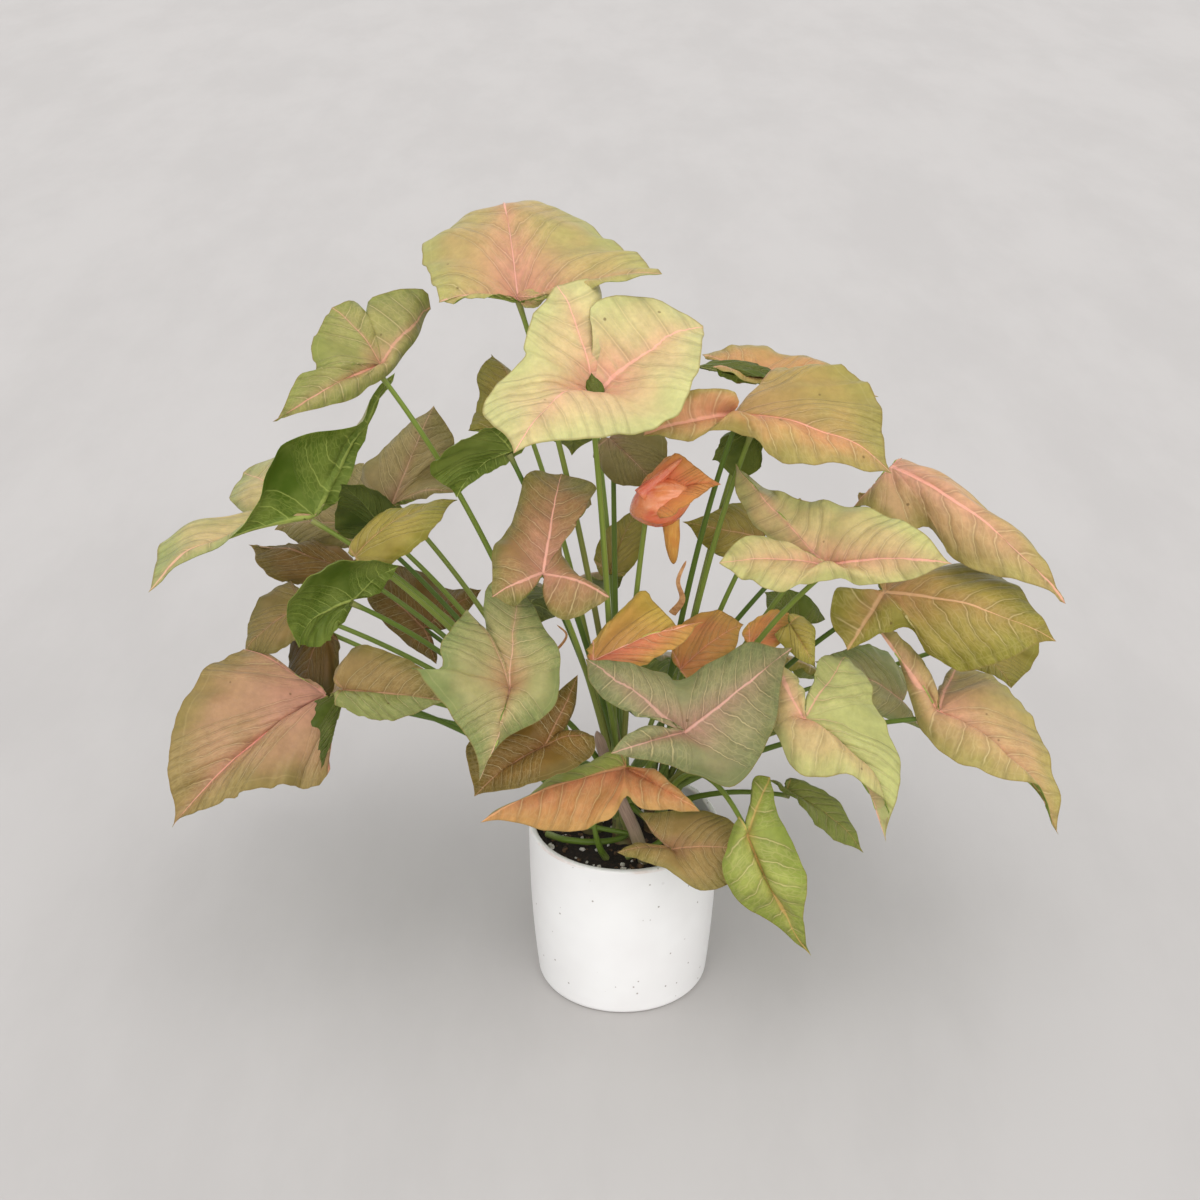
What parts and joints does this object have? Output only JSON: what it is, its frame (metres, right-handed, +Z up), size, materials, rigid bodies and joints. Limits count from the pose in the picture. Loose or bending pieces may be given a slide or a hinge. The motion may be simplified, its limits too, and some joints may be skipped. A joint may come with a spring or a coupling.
{
  "type": "potted arrowhead plant",
  "caption": "Bushy arrowhead plant with pink and olive-green arrow-shaped leaves on long stalks, growing from dark soil in a plain round white pot.",
  "frame": {"origin": "centre of the pot's flat base, on the surface that it stands on", "axes": "+Z up along the pot's axis, +X to the right and +Y away from the viewer in the picture's view"},
  "size_m": [0.5833, 0.3735, 0.5335],
  "materials": {
    "leaf_pink": "satin blade, olive-yellow rim with salmon-pink veins",
    "leaf_mauve": "satin blade, brownish mauve with an olive rim",
    "leaf_brown": "satin blade, shaded red-brown",
    "leaf_olive": "satin blade, yellow-olive",
    "leaf_grey_green": "satin blade, grey-green with pink veins",
    "leaf_green": "satin blade, fresh to dark green",
    "leaf_orange": "satin blade, orange-salmon young growth",
    "petiole": "smooth green stalk",
    "ceramic": "white satin glaze with fine specks",
    "soil": "matt dark potting soil"
  },
  "bodies": {
    "root": {"leaf_back_left": "leaf_mauve", "leaf_back_low_left": "leaf_mauve", "leaf_back_low_right": "leaf_olive", "leaf_back_middle": "leaf_grey_green", "leaf_back_right": "leaf_pink", "leaf_back_upper": "leaf_olive", "leaf_behind_centre": "leaf_olive", "leaf_centre_large": "leaf_pink", "leaf_crown_top": "leaf_pink", "leaf_far_left_low": "leaf_mauve", "leaf_far_right_long": "leaf_pink", "leaf_far_right_low": "leaf_pink", "leaf_front_brown": "leaf_brown", "leaf_front_centre": "leaf_grey_green", "leaf_front_left": "leaf_grey_green", "leaf_front_orange": "leaf_orange", "leaf_left_brown_back": "leaf_brown", "leaf_left_dark": "leaf_green", "leaf_left_folded": "leaf_green", "leaf_left_inner": "leaf_mauve", "leaf_left_low_dark": "leaf_brown", "leaf_left_low_green": "leaf_olive", "leaf_left_mauve": "leaf_mauve", "leaf_left_olive": "leaf_olive", "leaf_left_reddish": "leaf_mauve", "leaf_left_turned": "leaf_green", "leaf_low_right": "leaf_olive", "leaf_low_right_small": "leaf_green", "leaf_mid_brown": "leaf_brown", "leaf_mid_left_brown": "leaf_brown", "leaf_mid_left_turned": "leaf_green", "leaf_mid_olive": "leaf_olive", "leaf_mid_yellow": "leaf_olive", "leaf_new_curled": "leaf_orange", "leaf_new_green_lower": "leaf_olive", "leaf_new_green_upper": "leaf_green", "leaf_new_orange": "leaf_orange", "leaf_new_yellow": "leaf_orange", "leaf_new_yellow_small": "leaf_orange", "leaf_right_grey": "leaf_grey_green", "leaf_right_olive": "leaf_olive", "leaf_right_olive_back": "leaf_olive", "leaf_right_pale": "leaf_pink", "leaf_right_pointed": "leaf_pink", "leaf_right_turned": "leaf_green", "leaf_rim_right": "leaf_brown", "leaf_under_centre": "leaf_mauve", "leaf_upper_left": "leaf_pink", "leaf_upper_right": "leaf_pink", "leaf_upper_right_back": "leaf_pink", "stem_left": "petiole", "stem_mid": "petiole", "stem_right": "petiole", "stem_back": "petiole", "pot": "ceramic", "soil": "soil"}
  },
  "joints": []
}
